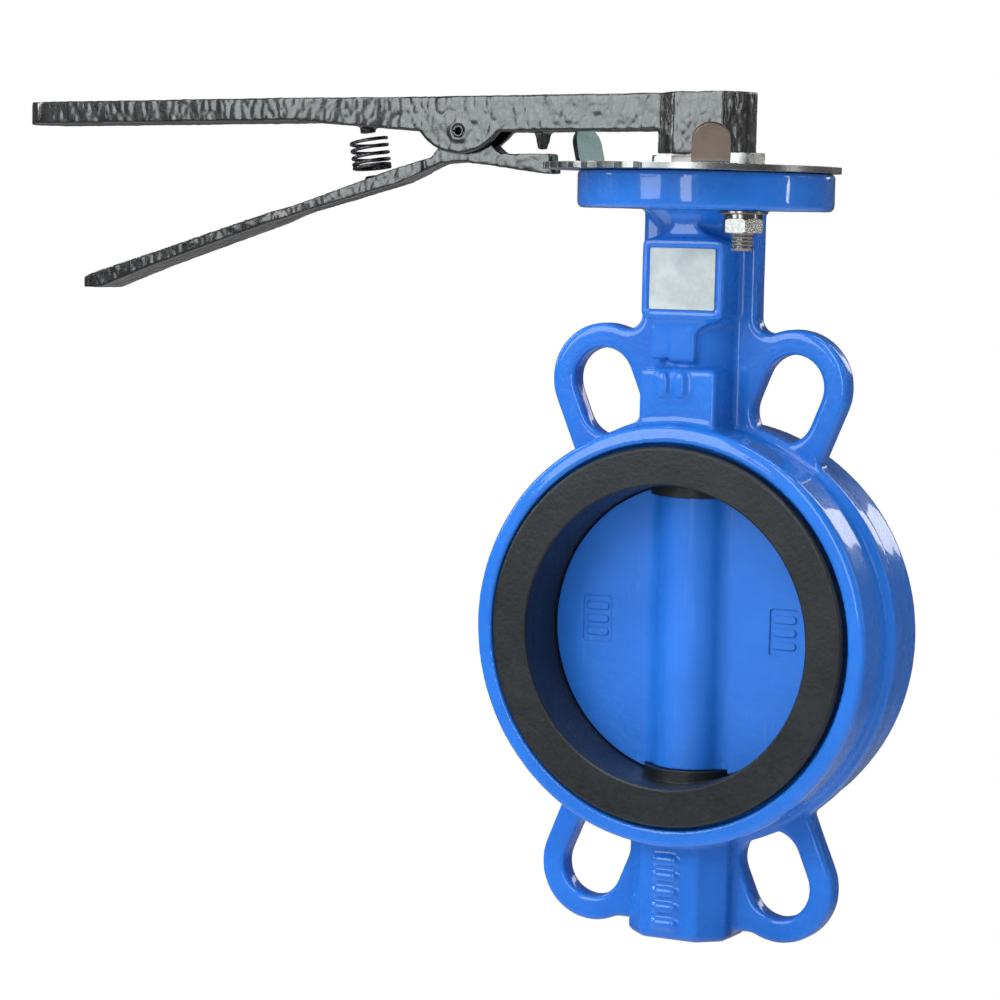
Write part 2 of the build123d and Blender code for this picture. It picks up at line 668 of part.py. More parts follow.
def lever_handle():
    """Cast lever: grip, arm with two cheeks for the trigger, and a square-bored head."""
    reach = 4 * GRIP_HALF
    solid = side_plate(arm_side(), GRIP_HALF + HEAD_R)
    solid &= extrude(Pos(0, 0, HEAD_BOTTOM_Z - reach) * handle_plan(), 2 * reach)
    slot_x = (PIVOT_X - CHEEK_HALF_L + 0.5, PIVOT_X + CHEEK_HALF_L + 4)
    slot_z = (HEAD_BOTTOM_Z - reach, PIVOT_Z + PIN_D + 3)
    solid -= block(slot_x, (-SLOT_HALF, SLOT_HALF), slot_z)
    solid -= crossbar(PIN_D / 2 + PUSH_FIT, -reach, reach, PIVOT_X, PIVOT_Z)
    solid += travel_stop()
    solid += spring_axis() * post(PEG_D / 2, -PEG_H, PEG_ROOT)
    side = STEM_SQUARE / 2 + SQUARE_FIT
    solid -= block((-side, side), (-side, side), (HEAD_BOTTOM_Z - 1, HEAD_TOP_Z + 5))
    return solid - crossbar(SCREW_D / 2 + PUSH_FIT, 0, reach, 0, screw_z())


def travel_stop():
    """Tapered stud under the arm, above the trigger's finger."""
    top = Pos(LUG_X, 0, ARM_UNDER_Z + 1) * Rectangle(3.8, 9.6)
    bottom = Pos(LUG_X, 0, ARM_UNDER_Z - LUG_H) * Rectangle(1.8, 5.4)
    return loft([bottom.face(), top.face()])


def screw_z():
    return HEAD_TOP_Z - HEAD_H / 2


def handle_set_screw():
    """Socket set screw from the back of the head onto the stem's flat."""
    tip = STEM_SQUARE / 2 + SQUARE_FIT
    screw = crossbar(SCREW_D / 2, tip, HEAD_FLAT_Y - 0.8, 0, screw_z())
    screw = chamfer(screw.edges().filter_by(GeomType.CIRCLE), 0.5)
    socket = Plane.XZ.offset(-HEAD_FLAT_Y) * Pos(0, screw_z()) * RegularPolygon(1.5, 6)
    return screw - extrude(socket, 4.0)


def trigger_pin():
    """Rolled spring pin with a slit, flush with both cheeks."""
    pin = crossbar(PIN_D / 2, -ARM_HALF, ARM_HALF, PIVOT_X, PIVOT_Z)
    pin -= crossbar(PIN_BORE / 2, -2 * ARM_HALF, 2 * ARM_HALF, PIVOT_X, PIVOT_Z)
    slit = (PIVOT_Z - 0.3, PIVOT_Z + 0.3)
    return pin - block((PIVOT_X - PIN_D, PIVOT_X), (-2 * ARM_HALF, 2 * ARM_HALF), slit)


# ---------------------------------------------------------------- trigger and spring
def trigger_side():
    """Side view of the trigger, drawn round its pivot."""
    hub_r = PIN_D / 2 + 4.0
    finger = FINGER_X - PIVOT_X
    far = TRIGGER_END_X - PIVOT_X
    plate = PAD_TOP_Z - PIVOT_Z
    turn = radians(150)
    hub_left = (hub_r * cos(turn), hub_r * sin(turn))
    hub_right = (hub_r * cos(radians(20)), hub_r * sin(radians(20)))
    top = Polyline(
        (far, -57.0),
        (far + 11.1, -53.5),
        (-64.9, -26.1),
        (-30.9, -14.6),
        (-12.9, -9.4),
        (-10.1, -6.1),
        hub_left,
    )
    hub = ThreePointArc(hub_left, (0, hub_r), hub_right)
    front = Polyline(
        hub_right,
        (12.7, -5.2),
        (15.5, -7.6),
        (20.5, -7.8),
        (finger - 1.6, -7.5),
        (finger - 0.8, -8.3),
        (finger - 0.8, plate + 0.9),
        (finger, plate + 0.5),
        (finger, plate - 1.5),
        (finger - 2.4, plate - 1.7),
        (23.8, -14.0),
        (12.9, -12.5),
        (0.3, -11.2),
        (-8.7, -12.0),
        (-24.5, -19.1),
        (-64.9, -30.2),
        (-130.4, -52.1),
        (far + 11.1, -60.6),
        (far + 1.5, -60.6),
        (far, -57.0),
    )
    return Pos(PIVOT_X, PIVOT_Z) * make_face(top + hub + front)


def trigger_plan():
    """Outline of the trigger from above: grip, arm, and the web between the cheeks."""
    grip_x = TRIGGER_END_X + TRIGGER_GRIP_HALF
    waist_x = PIVOT_X - 70.0
    shoulder_x = PIVOT_X - CHEEK_HALF_L
    far_x = FINGER_X + 1
    end = ThreePointArc(
        (grip_x, TRIGGER_GRIP_HALF), (TRIGGER_END_X, 0), (grip_x, -TRIGGER_GRIP_HALF)
    )
    lines = [end]
    for way in (1, -1):
        lines.append(
            Polyline(
                (grip_x, way * TRIGGER_GRIP_HALF),
                (waist_x - 8, way * TRIGGER_GRIP_HALF),
                (waist_x, way * TRIGGER_HALF),
                (shoulder_x, way * TRIGGER_HALF),
                (shoulder_x + 1.5, way * WEB_THICK_HALF),
                (far_x, way * WEB_THICK_HALF),
            )
        )
    lines.append(Line((far_x, WEB_THICK_HALF), (far_x, -WEB_THICK_HALF)))
    return make_face(lines)


def trigger_lever():
    """Squeezed trigger: its finger carries the latch tooth that drops into a notch."""
    reach = 100.0
    solid = side_plate(trigger_side(), GRIP_HALF)
    solid &= extrude(Pos(0, 0, PIVOT_Z - reach) * trigger_plan(), 2 * reach)
    tooth_x = (FINGER_X - 2.0, FINGER_X + FINGER_GAP + LATCH_REACH)
    tooth_z = (PAD_TOP_Z - 0.1, PLATE_TOP_Z - 0.2)
    solid += block(tooth_x, (-LATCH_W / 2, LATCH_W / 2), tooth_z)
    solid += spring_axis() * post(PEG_D / 2, -SPRING_ROOM - PEG_ROOT, -SPRING_ROOM + PEG_H)
    return solid - crossbar(PIN_D / 2 + RUN_FIT, -GRIP_HALF, GRIP_HALF, PIVOT_X, PIVOT_Z)


def spring_axis():
    """Place on the arm's underside that the spring hangs from, leaning with the gap."""
    return Pos(SPRING_X, 0, ARM_UNDER_Z) * Rot(0, -SPRING_TILT, 0)


def trigger_spring():
    coil_r = (SPRING_D - SPRING_WIRE) / 2
    top = -SPRING_TOP_GAP - SPRING_WIRE / 2
    foot = -SPRING_ROOM + SPRING_FOOT_GAP + SPRING_WIRE / 2
    path = Helix((top - foot) / SPRING_TURNS, top - foot, coil_r)
    wire = Plane(origin=path @ 0, z_dir=path % 0) * Circle(SPRING_WIRE / 2)
    coil = sweep(wire, path=path, is_frenet=True)
    return spring_axis() * Pos(0, 0, foot) * coil


# ---------------------------------------------------------------- write every piece
def main():
    os.makedirs("parts", exist_ok=True)
    save("valve_body", valve_body())
    save("seat_liner", seat_liner())
    save("middle_bush", bush(RIB_R + 1.0, RIB_R + 21.0))
    save("upper_bush", upper_bush())
    save("lower_bush", bush(FOOT_Z + FOOT_FLOOR + 2.0, -RIB_R - 1.0))
    for name, z in zip(("upper_o_ring", "lower_o_ring"), ring_heights()):
        save(name, o_ring(z))
    save("thrust_washer", thrust_washer())
    save("spacer_ring", spacer_ring())
    save("notch_plate", notch_plate())
    save("plate_bolts", at_bolts(hex_bolt()))
    save("plate_flat_washers", at_bolts(flat_washer()))
    save("plate_spring_washers", at_bolts(spring_washer()))
    save("plate_nuts", at_bolts(hex_nut()))
    save("name_plate", name_plate())
    save("disc", disc())
    save("upper_stem", upper_stem())
    save("lower_stem", lower_stem())
    save("stem_circlip", stem_circlip())
    save("lever_handle", lever_handle())
    save("handle_set_screw", handle_set_screw())
    save("trigger_pin", trigger_pin())
    save("trigger_lever", trigger_lever())
    save("trigger_spring", trigger_spring())


main()
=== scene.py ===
"""Looks of the wafer butterfly valve: cast lever, wound spring, materials, light and camera."""

import math

import bmesh
import bpy
from mathutils import Matrix, Vector, noise


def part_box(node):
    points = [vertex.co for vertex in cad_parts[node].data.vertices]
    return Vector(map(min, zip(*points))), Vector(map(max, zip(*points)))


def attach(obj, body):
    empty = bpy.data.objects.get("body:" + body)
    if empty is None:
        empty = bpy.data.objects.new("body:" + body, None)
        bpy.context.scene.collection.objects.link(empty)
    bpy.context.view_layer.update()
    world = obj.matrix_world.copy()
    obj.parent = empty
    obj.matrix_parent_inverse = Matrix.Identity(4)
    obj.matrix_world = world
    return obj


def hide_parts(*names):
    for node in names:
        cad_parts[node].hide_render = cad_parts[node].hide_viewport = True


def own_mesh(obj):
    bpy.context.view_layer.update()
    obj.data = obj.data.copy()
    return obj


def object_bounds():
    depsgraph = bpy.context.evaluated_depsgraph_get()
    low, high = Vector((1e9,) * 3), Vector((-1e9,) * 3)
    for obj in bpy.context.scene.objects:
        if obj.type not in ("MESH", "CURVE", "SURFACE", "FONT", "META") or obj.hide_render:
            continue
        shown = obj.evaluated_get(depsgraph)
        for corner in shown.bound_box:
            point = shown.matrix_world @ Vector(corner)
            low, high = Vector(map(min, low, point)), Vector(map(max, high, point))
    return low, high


MM = 0.001

# Camera
CAMERA_FROM = Vector((460.85, -1053.67, 142.27)) * MM
CAMERA_TO = Vector((-78.2, 0.0, 41.6)) * MM
CAMERA_ROLL = math.radians(1.188)
CAMERA_LENS = 117.9
SENSOR = 36.0

# Cast skins: grain of the new mesh, rounds of smoothing, and lumps as (size, depth, creased)
CAST_VOXEL = 0.55 * MM
CAST_ROUNDS = 4
BODY_VOXEL = 0.75 * MM
BODY_ROUNDS = 9
BODY_LUMPS = (
    ((26.0 * MM, 26.0 * MM, 26.0 * MM), 0.22 * MM, False),
    ((9.0 * MM, 9.0 * MM, 9.0 * MM), 0.10 * MM, False),
)
CAST_LUMPS = (
    ((9.0 * MM, 9.0 * MM, 9.0 * MM), 0.16 * MM, False),
    ((4.2 * MM, 4.2 * MM, 8.0 * MM), 0.10 * MM, True),
    ((2.4 * MM, 2.4 * MM, 3.4 * MM), 0.07 * MM, True),
)

# Machined places, which keep their CAD surface
PIN_X = -94.7 * MM
PIN_Z = 174.4 * MM
PIN_REACH = 3.0 * MM
BORE_REACH = 6.5 * MM
TOOTH_X = -56.5 * MM
LEVER_FADE = 1.5 * MM
DRUM_REACH = 69.0 * MM
STEM_REACH = 12.2 * MM
PAD_Z = 159.6 * MM
BODY_FADE = 1.2 * MM
LABEL_Y = -17.0 * MM
LABEL_HALF = 13.6 * MM
LABEL_LOW_Z = 112.0 * MM
LABEL_HIGH_Z = 136.0 * MM
LABEL_SHARE = 0.25

# Spring
SPRING_WIRE = 1.3 * MM
SPRING_COIL = 6.55 * MM
SPRING_SLANT = math.tan(math.radians(8.0))  # the turns lie square to the leaning axis
SPRING_TURNS = ((0.0, 0.0), (1.3, 0.12), (2.3, 0.32), (3.3, 0.56), (4.3, 0.82), (5.1, 1.0))  # turn, height
SPRING_STEPS = 30  # points in each turn
WIRE_SIDES = 12

# Studio
FLOOR_REACH = 30.0
AIR_LEVEL = 0.09  # light from round the horizon
AIR_BELOW = 0.75  # light from straight below


# ---------------------------------------------------------------- node helpers
class Nodes:
    """Short way to build one node material."""

    def __init__(self, name):
        self.material = bpy.data.materials.new(name)
        self.material.use_nodes = True
        self.tree = self.material.node_tree
        self.shader = self.tree.nodes["Principled BSDF"]

    def add(self, kind, **values):
        node = self.tree.nodes.new(kind)
        for key, value in values.items():
            if key in node.inputs:
                node.inputs[key].default_value = value
            else:
                setattr(node, key, value)
        return node

    def link(self, start, end):
        self.tree.links.new(start, end)

    def set(self, **values):
        names = {key.replace("_", " ").lower(): value for key, value in values.items()}
        for socket in self.shader.inputs:
            if socket.name.lower() in names:
                socket.default_value = names[socket.name.lower()]

    def local(self):
        """The piece's own coordinates, so that the pattern moves with it."""
        return self.add("ShaderNodeTexCoord").outputs["Object"]

    def stretched(self, scale):
        node = self.add("ShaderNodeMapping")
        self.link(self.local(), node.inputs["Vector"])
        node.inputs["Scale"].default_value = scale
        return node.outputs["Vector"]

    def noise(self, scale, detail=4.0, rough=0.55, where=None):
        node = self.add("ShaderNodeTexNoise", Scale=scale, Detail=detail, Roughness=rough)
        self.link(where or self.local(), node.inputs["Vector"])
        return node.outputs["Fac"]

    def cells(self, scale, feature="F1", where=None):
        node = self.add("ShaderNodeTexVoronoi", Scale=scale)
        node.feature = feature
        self.link(where or self.local(), node.inputs["Vector"])
        return node.outputs["Distance"]

    def spread(self, value, low, high, start=0.0, end=1.0):
        node = self.add("ShaderNodeMapRange")
        self.link(value, node.inputs["Value"])
        node.inputs["From Min"].default_value = low
        node.inputs["From Max"].default_value = high
        node.inputs["To Min"].default_value = start
        node.inputs["To Max"].default_value = end
        return node.outputs["Result"]

    def mix(self, share, first, second):
        node = self.add("ShaderNodeMix", data_type="RGBA")
        self.link(share, node.inputs["Factor"])
        for socket, colour in ((node.inputs[6], first), (node.inputs[7], second)):
            if isinstance(colour, tuple):
                socket.default_value = (*colour, 1.0)
            else:
                self.link(colour, socket)
        return node.outputs[2]

    def sum(self, first, second, how="ADD"):
        node = self.add("ShaderNodeMath", operation=how)
        for socket, value in ((node.inputs[0], first), (node.inputs[1], second)):
            if isinstance(value, float):
                socket.default_value = value
            else:
                self.link(value, socket)
        return node.outputs[0]

    def bump(self, height, distance, strength=1.0, edge=0.0):
        node = self.add("ShaderNodeBump", Strength=strength, Distance=distance)
        self.link(height, node.inputs["Height"])
        if edge:
            corner = self.add("ShaderNodeBevel", Radius=edge)
            corner.samples = 6
            self.link(corner.outputs["Normal"], node.inputs["Normal"])
        self.link(node.outputs["Normal"], self.shader.inputs["Normal"])

    def colour(self, value):
        self.link(value, self.shader.inputs["Base Color"])

    def roughness(self, value):
        self.link(value, self.shader.inputs["Roughness"])


# ---------------------------------------------------------------- materials
def blue_paint():
    """Glossy epoxy over a slightly lumpy casting."""
    n = Nodes("blue_epoxy")
    n.set(metallic=0.0, specular_ior_level=0.2, coat_weight=0.8, coat_roughness=0.04, coat_ior=1.5)
    broad = n.noise(38.0, 3.0)
    fine = n.noise(230.0, 5.0)
    grain = n.noise(900.0, 2.0)
    shade = n.mix(n.spread(broad, 0.3, 0.7), (0.009, 0.104, 0.43), (0.014, 0.130, 0.52))
    # Pale specks of dust on the epoxy.
    pale_specks = n.spread(n.noise(520.0, 6.0, 0.75), 0.70, 0.82, 0.0, 0.25)
    n.colour(n.mix(pale_specks, shade, (0.04, 0.17, 0.60)))
    n.roughness(n.spread(fine, 0.25, 0.75, 0.22, 0.34))
    lumps = n.sum(n.sum(broad, fine), n.sum(grain, 0.22, "MULTIPLY"))
    n.bump(lumps, 0.0004, 0.55, edge=0.0007)
    return n.material


def disc_paint():
    """The disc's coating: satin, with dust specks and faint rubbed streaks along the hub."""
    n = Nodes("blue_disc_coating")
    n.set(metallic=0.0, specular_ior_level=0.25, coat_weight=0.6, coat_roughness=0.08, coat_ior=1.5)
    broad = n.noise(30.0, 3.0)
    fine = n.noise(300.0, 5.0)
    streaks = n.noise(420.0, 4.0, 0.6, n.stretched((1.0, 1.0, 0.12)))
    shade = n.mix(n.spread(broad, 0.3, 0.7), (0.010, 0.112, 0.47), (0.016, 0.140, 0.56))
    specks = n.spread(n.noise(760.0, 6.0, 0.8), 0.64, 0.74, 0.0, 0.5)
    worn = n.mix(n.spread(streaks, 0.62, 0.78, 0.0, 0.35), shade, (0.07, 0.20, 0.58))
    n.colour(n.mix(specks, worn, (0.12, 0.26, 0.60)))
    n.roughness(n.spread(fine, 0.25, 0.75, 0.34, 0.52))
    n.bump(n.sum(broad, fine), 0.0004, 0.7, edge=0.0008)
    return n.material


def liner_rubber():
    """Moulded rubber: charcoal, satin, with flow marks and dust."""
    n = Nodes("liner_rubber")
    n.set(metallic=0.0, specular_ior_level=0.5)
    fine = n.noise(700.0, 5.0)
    broad = n.noise(45.0, 3.0)
    shade = n.mix(n.spread(broad, 0.3, 0.7), (0.006, 0.008, 0.010), (0.011, 0.014, 0.017))
    # Pale specks of dust on the rubber.
    pale_specks = n.spread(n.noise(850.0, 6.0, 0.8), 0.66, 0.8, 0.0, 0.35)
    n.colour(n.mix(pale_specks, shade, (0.07, 0.08, 0.08)))
    n.roughness(n.spread(fine, 0.3, 0.7, 0.30, 0.46))
    n.bump(n.sum(fine, n.sum(broad, 0.6, "MULTIPLY")), 0.00018, 0.6, edge=0.0005)
    return n.material


def ring_rubber():
    """Black rubber of the o-rings."""
    n = Nodes("ring_rubber")
    n.set(metallic=0.0)
    fine = n.noise(1600.0, 4.0)
    n.colour(n.mix(fine, (0.012, 0.012, 0.012), (0.03, 0.03, 0.03)))
    n.roughness(n.spread(fine, 0.3, 0.7, 0.4, 0.6))
    n.bump(fine, 0.0001, 0.5)
    return n.material


def cast_black():
    """Glossy black paint over a coarse casting, with pits, a painted sheen that lightens the colour on the
    lumps, and painted glints as pale specks.
    """
    n = Nodes("black_cast_paint")
    n.set(metallic=0.0, specular_ior_level=0.6, coat_weight=1.0, coat_roughness=0.15, coat_ior=1.62)
    coarse = n.noise(240.0, 2.0, 0.5)
    wrinkle = n.noise(620.0, 3.0, 0.6)
    folds = n.spread(n.cells(330.0, "DISTANCE_TO_EDGE", n.stretched((1.0, 1.0, 0.45))), 0.0, 0.07)
    pits = n.spread(n.cells(190.0), 0.06, 0.16)
    # Painted sheen: the colour is lighter where the coarse lumps stand up.
    shade = n.mix(n.spread(coarse, 0.3, 0.75), (0.0015, 0.0016, 0.0018), (0.006, 0.0065, 0.007))
    # Pale specks of brighter colour: painted glints on the black paint.
    pale_specks = n.spread(n.noise(900.0, 6.0, 0.8), 0.68, 0.80, 0.0, 0.45)
    n.colour(n.mix(pale_specks, shade, (0.05, 0.052, 0.055)))
    n.roughness(n.spread(wrinkle, 0.3, 0.7, 0.24, 0.40))
    lumps = n.sum(coarse, n.sum(wrinkle, 0.22, "MULTIPLY"))
    marks = n.sum(n.sum(folds, 0.16, "MULTIPLY"), n.sum(pits, 0.25, "MULTIPLY"))
    n.bump(n.sum(lumps, marks), 0.0006, 0.36)
    return n.material


def metal(name, dark, light, rough, along=None):
    """Machined or plated steel with fine marks and uneven tarnish."""
    n = Nodes(name)
    n.set(metallic=1.0)
    where = n.stretched(along) if along else None
    marks = n.noise(900.0, 5.0, 0.6, where)
    stain = n.noise(60.0, 5.0, 0.65)
    n.colour(n.mix(n.spread(stain, 0.3, 0.7), dark, light))
    n.roughness(n.sum(n.spread(marks, 0.3, 0.7, rough - 0.07, rough + 0.07),
                      n.spread(stain, 0.3, 0.7, -0.04, 0.04)))
    n.bump(marks, 0.00002, 0.12, edge=0.0003)
    return n.material


def zinc_plate():
    """Zinc plating: pale and spangled on the flat, with a warm and a cool tarnish on the two tabs."""
    n = Nodes("zinc_plate")
    n.set(metallic=1.0)
    parts = n.add("ShaderNodeSeparateXYZ")
    n.link(n.local(), parts.inputs["Vector"])
    height = n.spread(parts.outputs["Z"], 163.4 * MM, 165.0 * MM)
    side = n.spread(parts.outputs["X"], -5.0 * MM, 5.0 * MM)
    spangle = n.noise(90.0, 4.0, 0.6)
    marks = n.noise(1100.0, 4.0)
    flat = n.mix(n.spread(spangle, 0.35, 0.65), (0.42, 0.44, 0.44), (0.60, 0.62, 0.61))
    cool = n.mix(n.spread(spangle, 0.35, 0.65), (0.24, 0.36, 0.35), (0.34, 0.47, 0.46))
    warm = n.mix(n.spread(spangle, 0.35, 0.65), (0.40, 0.31, 0.25), (0.50, 0.40, 0.33))
    tabs = n.mix(side, cool, warm)
    n.colour(n.mix(height, flat, tabs))
    n.roughness(n.spread(marks, 0.3, 0.7, 0.26, 0.34))
    n.bump(marks, 0.00002, 0.10, edge=0.0003)
    return n.material


def label_foil():
    """Blank silver-grey label: printed foil with faint rolling marks and smudges."""
    n = Nodes("label_foil")
    n.set(metallic=0.35, specular_ior_level=0.4)
    smudge = n.noise(140.0, 4.0, 0.6)
    marks = n.noise(1500.0, 3.0)
    n.colour(n.mix(n.spread(smudge, 0.35, 0.65), (0.34, 0.38, 0.39), (0.46, 0.50, 0.51)))
    n.roughness(n.spread(marks, 0.3, 0.7, 0.38, 0.55))
    n.bump(marks, 0.00004, 0.5, edge=0.0003)
    return n.material


def bearing_plastic():
    """Off-white plastic of the bushes and the spacer."""
    n = Nodes("bearing_plastic")
    n.set(metallic=0.0)
    fine = n.noise(900.0, 4.0)
    n.colour(n.mix(fine, (0.50, 0.49, 0.45), (0.62, 0.61, 0.57)))
    n.roughness(n.spread(fine, 0.3, 0.7, 0.4, 0.55))
    n.bump(fine, 0.0001, 0.4, edge=0.0003)
    return n.material


def paint_all(nodes):
    """One material on every CAD node. Gives back those that the new pieces share."""
    blue = blue_paint()
    steel = metal("stainless_steel", (0.26, 0.26, 0.25), (0.50, 0.49, 0.47), 0.24)
    spring = metal("spring_steel", (0.05, 0.05, 0.055), (0.16, 0.16, 0.17), 0.30)
    turned = metal("turned_steel", (0.48, 0.48, 0.47), (0.64, 0.64, 0.63), 0.24, along=(1, 1, 9))
    zinc = zinc_plate()
    label = label_foil()
    plastic = bearing_plastic()
    rings = ring_rubber()
    cast = cast_black()
    table = {
        "valve_body": blue,
        "disc": disc_paint(),
        "seat_liner": liner_rubber(),
        "upper_o_ring": rings,
        "lower_o_ring": rings,
        "middle_bush": plastic,
        "upper_bush": plastic,
        "lower_bush": plastic,
        "spacer_ring": plastic,
        "thrust_washer": steel,
        "plate_bolts": steel,
        "plate_flat_washers": steel,
        "plate_spring_washers": steel,
        "plate_nuts": steel,
        "upper_stem": turned,
        "lower_stem": turned,
        "notch_plate": zinc,
        "name_plate": label,
        "stem_circlip": spring,
        "handle_set_screw": spring,
        "trigger_pin": spring,
        "trigger_spring": spring,
        "lever_handle": cast,
        "trigger_lever": cast,
    }
    for name, material in table.items():
        slots = nodes[name].data.materials
        slots.clear()
        slots.append(material)
    return cast, spring, blue


# ---------------------------------------------------------------- cast body, lever and trigger
def applied(piece, name, kind, **settings):
    """Mesh of the piece with one modifier applied."""
    modifier = piece.modifiers.new(name, kind)
    for key, value in settings.items():
        setattr(modifier, key, value)
    evaluated = piece.evaluated_get(bpy.context.evaluated_depsgraph_get())
    mesh = bpy.data.meshes.new_from_object(evaluated)
    piece.modifiers.clear()
    return mesh


def lump_depth(point, lumps):
    """How far in the uneven skin lies at a point."""
    depth = 0.0
    for size, amount, creased in lumps:
        value = noise.noise((point.x / size[0], point.y / size[1], point.z / size[2]))
        depth += amount * (1.0 - abs(value) * 2.0 if creased else 0.5 + 0.5 * value)
    return depth


def cast_piece(node, name, material, calm, voxel, rounds, lumps):
    """Copy of a CAD solid with the rounded edges and uneven skin of a casting.

    The lumps move the skin inward only. calm(point) is 0 where the piece is machined, and its
    points stay where the CAD has them, and 1 where it is raw.
    """
    piece = bpy.data.objects.new(name, node.data.copy())
    bpy.context.collection.objects.link(piece)
    piece.data = applied(piece, "skin", "REMESH", mode="VOXEL", voxel_size=voxel, use_smooth_shade=True)
    raw = piece.vertex_groups.new(name="raw")
    shares = [calm(vertex.co) for vertex in piece.data.vertices]
    for index, share in enumerate(shares):
        if share > 0.0:
            raw.add((index,), share, "REPLACE")
    mesh = applied(piece, "soft_edges", "SMOOTH", factor=0.5, iterations=rounds, vertex_group="raw")
    piece.vertex_groups.clear()
    piece.data = mesh
    normals = [vertex.normal.copy() for vertex in mesh.vertices]
    for vertex, normal, share in zip(mesh.vertices, normals, shares):
        if share > 0.0:
            vertex.co -= normal * lump_depth(vertex.co, lumps) * share
    mesh.materials.clear()
    mesh.materials.append(material)
    mesh.shade_smooth()
    return piece


def from_pin(point):
    return math.hypot(point.x - PIN_X, point.z - PIN_Z) - PIN_REACH


def handle_calm(point):
    """Raw casting everywhere but the square bore and the pin's hole."""
    from_bore = max(abs(point.x), abs(point.y)) - BORE_REACH
    near = min(from_bore, from_pin(point))
    return min(1.0, max(0.0, near / LEVER_FADE))


def trigger_calm(point):
    """Raw casting everywhere but the latch tooth and the pin's hole."""
    near = min(from_pin(point), TOOTH_X - point.x)
    return min(1.0, max(0.0, near / LEVER_FADE))


def body_calm(point):
    """Raw outside, less so on the label frame, and machined in the bores and on the pad's top face."""
    drum = math.hypot(point.x, point.z) - DRUM_REACH
    stem = math.hypot(point.x, point.y) - STEM_REACH
    near = min(drum, stem, PAD_Z - point.z)
    on_label = point.y < LABEL_Y and abs(point.x) < LABEL_HALF and LABEL_LOW_Z < point.z < LABEL_HIGH_Z
    return min(LABEL_SHARE if on_label else 1.0, max(0.0, near / BODY_FADE))


# ---------------------------------------------------------------- wound spring
def spring_path(low, high, lean_foot, lean_top):
    """Centre line of the wire: one close turn at the foot and open turns above it."""
    length = high - low
    points = []
    last = SPRING_TURNS[-1][0]
    for step in range(int(last * SPRING_STEPS) + 1):
        turn = step / SPRING_STEPS
        share = 1.0
        for (t0, s0), (t1, s1) in zip(SPRING_TURNS, SPRING_TURNS[1:]):
            if t0 <= turn <= t1:
                share = s0 + (s1 - s0) * (turn - t0) / (t1 - t0)
                break
        angle = 2 * math.pi * turn
        centre = lean_foot.lerp(lean_top, share)
        side = SPRING_COIL * math.cos(angle)
        height = low + length * share + side * SPRING_SLANT
        points.append(centre + Vector((side, SPRING_COIL * math.sin(angle), height)))
    return points


def tube(name, points, radius, material):
    """Round wire along a line of points, with closed ends."""
    bm = bmesh.new()
    rings = []
    side = Vector((0, 0, 1))
    for index, point in enumerate(points):
        ahead = points[min(index + 1, len(points) - 1)]
        behind = points[max(index - 1, 0)]
        run = (ahead - behind).normalized()
        across = run.cross(side).normalized()
        up = across.cross(run).normalized()
        ring = []
        for step in range(WIRE_SIDES):
            angle = 2 * math.pi * step / WIRE_SIDES
            offset = across * math.cos(angle) + up * math.sin(angle)
            ring.append(bm.verts.new(point + offset * radius))
        rings.append(ring)
    for first, second in zip(rings, rings[1:]):
        for step in range(WIRE_SIDES):
            after = (step + 1) % WIRE_SIDES
            bm.faces.new((first[step], first[after], second[after], second[step]))
    bm.faces.new(rings[0][::-1])
    bm.faces.new(rings[-1])
    bmesh.ops.recalc_face_normals(bm, faces=bm.faces)
    mesh = bpy.data.meshes.new(name)
    bm.to_mesh(mesh)
    bm.free()
    mesh.materials.append(material)
    mesh.shade_smooth()
    piece = bpy.data.objects.new(name, mesh)
    bpy.context.collection.objects.link(piece)
    return piece


def wound_spring(material):
    """Coil between the arm's peg and the trigger's peg, in the place of the CAD spring."""
    low, high = (Vector(corner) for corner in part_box("trigger_spring"))
    lean = (high.x - low.x - 2 * SPRING_COIL - SPRING_WIRE) / 2
    middle = (high.x + low.x) / 2
    foot = Vector((middle + lean, 0, 0))
    top = Vector((middle - lean, 0, 0))
    rise = SPRING_WIRE / 2 + SPRING_COIL * SPRING_SLANT
    points = spring_path(low.z + rise, high.z - rise, foot, top)
    return tube("wound_spring", points, SPRING_WIRE / 2, material)


# ---------------------------------------------------------------- studio
def studio_floor(height):
    """Wide pale floor that only lights the underside: the backdrop behind the valve is plain white."""
    mesh = bpy.data.meshes.new("studio_floor")
    signs = ((-1, -1), (1, -1), (1, 1), (-1, 1))
    corners = [(x * FLOOR_REACH, y * FLOOR_REACH, height) for x, y in signs]
    mesh.from_pydata(corners, [], [(0, 1, 2, 3)])
    floor = bpy.data.objects.new("studio_floor", mesh)
    bpy.context.collection.objects.link(floor)
    floor.visible_glossy = False
    floor.visible_camera = False
    n = Nodes("pale_floor")
    n.set(roughness=0.9, specular_ior_level=0.0)
    n.colour(n.mix(n.noise(3.0, 2.0), (0.88, 0.88, 0.88), (0.92, 0.92, 0.92)))
    mesh.materials.append(n.material)


def softbox(name, place, target, width, height, power, colour=(1.0, 1.0, 1.0)):
    """Rectangular lamp at a place, turned to a target."""
    light = bpy.data.lights.new(name, "AREA")
    light.shape = "RECTANGLE"
    light.size = width
    light.size_y = height
    light.energy = power
    light.color = colour
    lamp = bpy.data.objects.new(name, light)
    bpy.context.collection.objects.link(lamp)
    lamp.location = place
    lamp.rotation_euler = (Vector(target) - Vector(place)).to_track_quat("-Z", "Y").to_euler()


def soft_sun(place, strength, spread):
    """Broad daylight that leaves no glint on the paint."""
    light = bpy.data.lights.new("soft_sun", "SUN")
    light.energy = strength
    light.angle = math.radians(spread)
    lamp = bpy.data.objects.new("soft_sun", light)
    bpy.context.collection.objects.link(lamp)
    lamp.rotation_euler = (-Vector(place)).to_track_quat("-Z", "Y").to_euler()
    lamp.visible_glossy = False


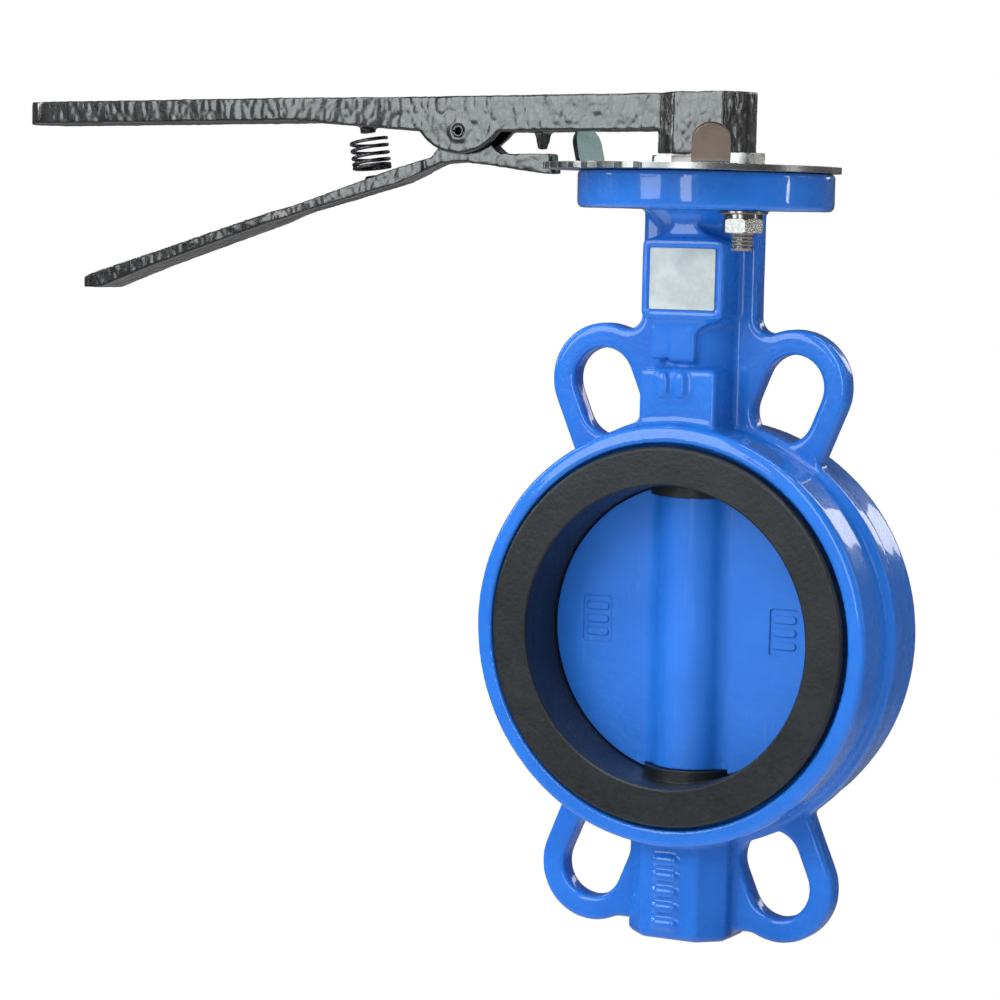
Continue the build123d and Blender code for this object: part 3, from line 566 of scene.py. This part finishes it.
def studio_light():
    soft_sun((-0.30, -0.46, 0.84), 3.9, 75.0)
    softbox("front_strip", (0.16, -1.40, 0.50), (0, 0, 0.05), 0.26, 1.2, 5.4)
    softbox("lever_box", (-0.75, -1.50, 0.60), (-0.08, 0, 0.17), 0.60, 1.05, 8.8, (0.93, 1.0, 1.02))
    softbox("left_strip", (-1.45, -0.45, 0.65), (0, 0, 0.03), 0.08, 0.9, 5.0)
    softbox("top_strip", (0.0, -0.25, 1.3), (0, 0, 0.05), 1.2, 0.08, 8.0)
    softbox("right_strip", (1.35, 0.25, 0.5), (0, 0, 0.03), 0.03, 1.0, 1.4)
    softbox("right_rear_box", (1.28, 0.78, 0.64), (-0.05, 0, 0.17), 0.35, 0.45, 0.8)
    softbox("rear_strip", (0.4, 1.4, 0.7), (0, 0, 0.05), 0.2, 0.9, 2.0)


def studio_air():
    """White surroundings. As a light they are dim but for the part straight below."""
    world = bpy.data.worlds.new("studio_air")
    world.use_nodes = True
    bpy.context.scene.world = world
    tree = world.node_tree
    air = tree.nodes["Background"]
    air.inputs["Color"].default_value = (1.0, 1.0, 1.0, 1.0)
    place = tree.nodes.new("ShaderNodeTexCoord")
    parts = tree.nodes.new("ShaderNodeSeparateXYZ")
    below = tree.nodes.new("ShaderNodeMapRange")
    below.inputs["From Min"].default_value = -0.30
    below.inputs["From Max"].default_value = -0.70
    below.inputs["To Min"].default_value = AIR_LEVEL
    below.inputs["To Max"].default_value = AIR_BELOW
    path = tree.nodes.new("ShaderNodeLightPath")
    level = tree.nodes.new("ShaderNodeMix")
    level.inputs["B"].default_value = 1.0
    tree.links.new(place.outputs["Generated"], parts.inputs["Vector"])
    tree.links.new(parts.outputs["Z"], below.inputs["Value"])
    tree.links.new(path.outputs["Is Camera Ray"], level.inputs["Factor"])
    tree.links.new(below.outputs["Result"], level.inputs["A"])
    tree.links.new(level.outputs["Result"], air.inputs["Strength"])


def set_camera():
    """Long lens from the front and a little to the right."""
    data = bpy.data.cameras.new("camera")
    data.lens = CAMERA_LENS
    data.sensor_width = SENSOR
    data.clip_end = 30.0
    camera = bpy.data.objects.new("camera", data)
    bpy.context.collection.objects.link(camera)
    aim = (CAMERA_TO - CAMERA_FROM).to_track_quat("-Z", "Y").to_matrix().to_4x4()
    roll = Matrix.Rotation(CAMERA_ROLL, 4, "Z")
    camera.matrix_world = Matrix.Translation(CAMERA_FROM) @ aim @ roll
    bpy.context.scene.camera = camera


# ---------------------------------------------------------------- build the scene
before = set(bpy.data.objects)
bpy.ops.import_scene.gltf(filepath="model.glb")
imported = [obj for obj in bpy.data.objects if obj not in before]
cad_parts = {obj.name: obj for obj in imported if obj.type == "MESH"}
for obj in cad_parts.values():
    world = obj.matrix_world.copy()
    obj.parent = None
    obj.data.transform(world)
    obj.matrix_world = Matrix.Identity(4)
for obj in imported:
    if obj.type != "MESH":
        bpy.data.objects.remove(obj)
cad_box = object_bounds()
bpy.context.scene.view_settings.view_transform = "Standard"

cast, dark_steel, blue = paint_all(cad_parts)
set_camera()
studio_light()
studio_air()
studio_floor(cad_box[0][2])

casting = cast_piece(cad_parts["valve_body"], "cast_body", blue, body_calm,
                     BODY_VOXEL, BODY_ROUNDS, BODY_LUMPS)
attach(casting, "valve")
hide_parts("valve_body")

handle = cast_piece(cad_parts["lever_handle"], "cast_handle", cast, handle_calm,
                    CAST_VOXEL, CAST_ROUNDS, CAST_LUMPS)
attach(handle, "disc_and_lever")
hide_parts("lever_handle")

trigger = cast_piece(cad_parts["trigger_lever"], "cast_trigger", cast, trigger_calm,
                     CAST_VOXEL, CAST_ROUNDS, CAST_LUMPS)
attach(trigger, "trigger")
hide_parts("trigger_lever")

coil = wound_spring(dark_steel)
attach(coil, "disc_and_lever")
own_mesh(coil)
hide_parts("trigger_spring")
